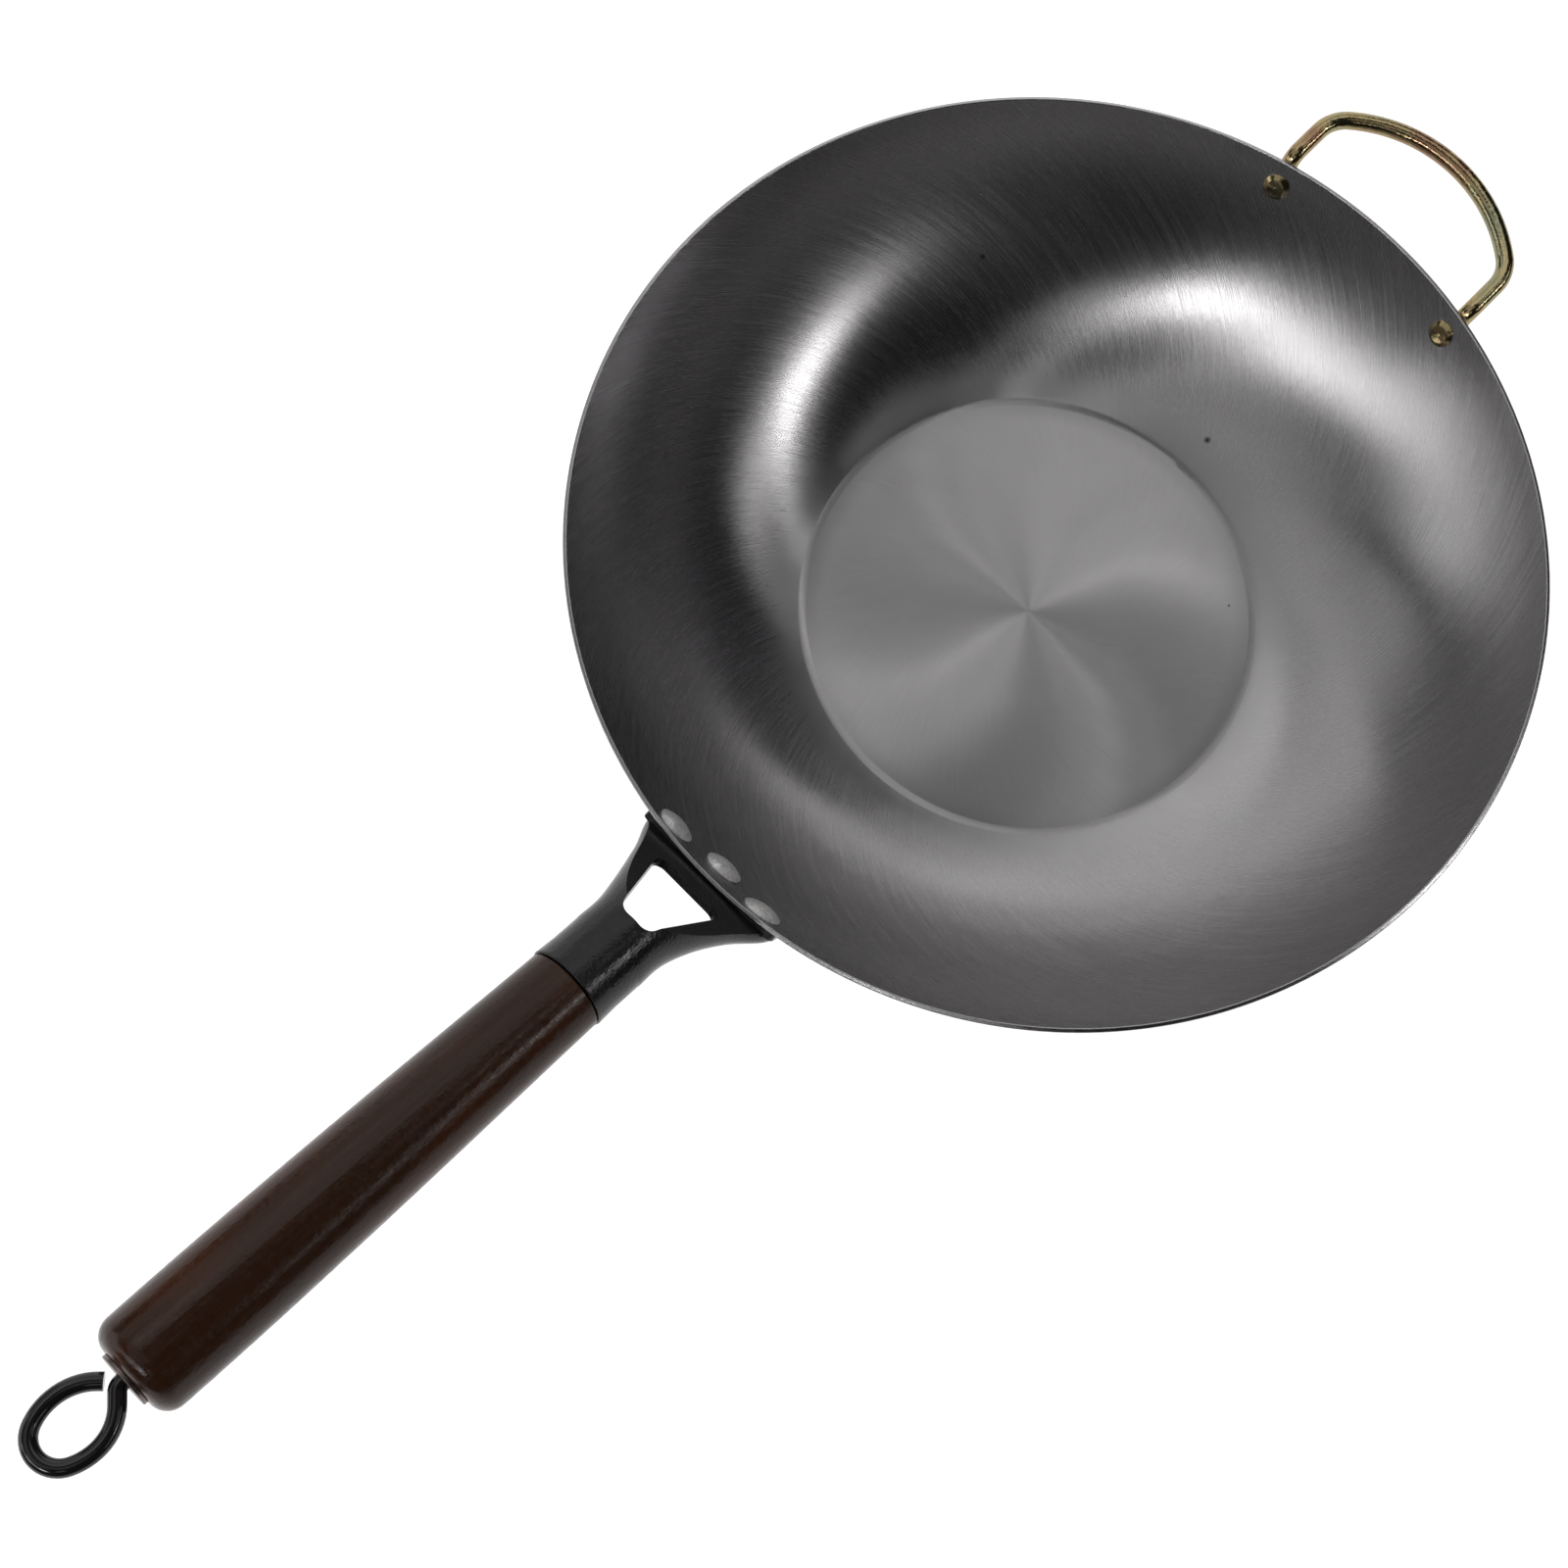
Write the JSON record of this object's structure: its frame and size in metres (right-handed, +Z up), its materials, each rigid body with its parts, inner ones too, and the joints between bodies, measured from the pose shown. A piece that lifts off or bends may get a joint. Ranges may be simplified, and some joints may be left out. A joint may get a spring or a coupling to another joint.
{
  "type": "wok",
  "caption": "Flat-bottomed carbon steel wok with a long wooden handle, a riveted helper handle and a hanging eye.",
  "frame": {"origin": "centre of the underside of the flat base", "axes": "+Z up, +X along the long handle, +Y to the left of the long handle"},
  "size_m": [0.594, 0.3198, 0.1522],
  "materials": {
    "bowl_steel": "bare carbon steel, brushed from the centre outwards",
    "bracket_black": "black coating with a fine orange-peel texture",
    "grip_wood": "dark red-brown stain under clear lacquer",
    "washer_steel": "plain steel",
    "loop_black": "glossy black coating",
    "rivet_steel": "plain steel, lightly dented",
    "yellow_zinc": "yellow zinc plating with a slight rainbow sheen"
  },
  "bodies": {
    "root": {"wok_bowl": "bowl_steel", "handle_bracket": "bracket_black", "wood_grip": "grip_wood", "end_washer": "washer_steel", "hanging_loop": "loop_black", "handle_rivet_left": "rivet_steel", "handle_rivet_middle": "rivet_steel", "handle_rivet_right": "rivet_steel", "helper_handle": "yellow_zinc", "helper_rivet_left": "yellow_zinc", "helper_rivet_right": "yellow_zinc"}
  },
  "joints": []
}
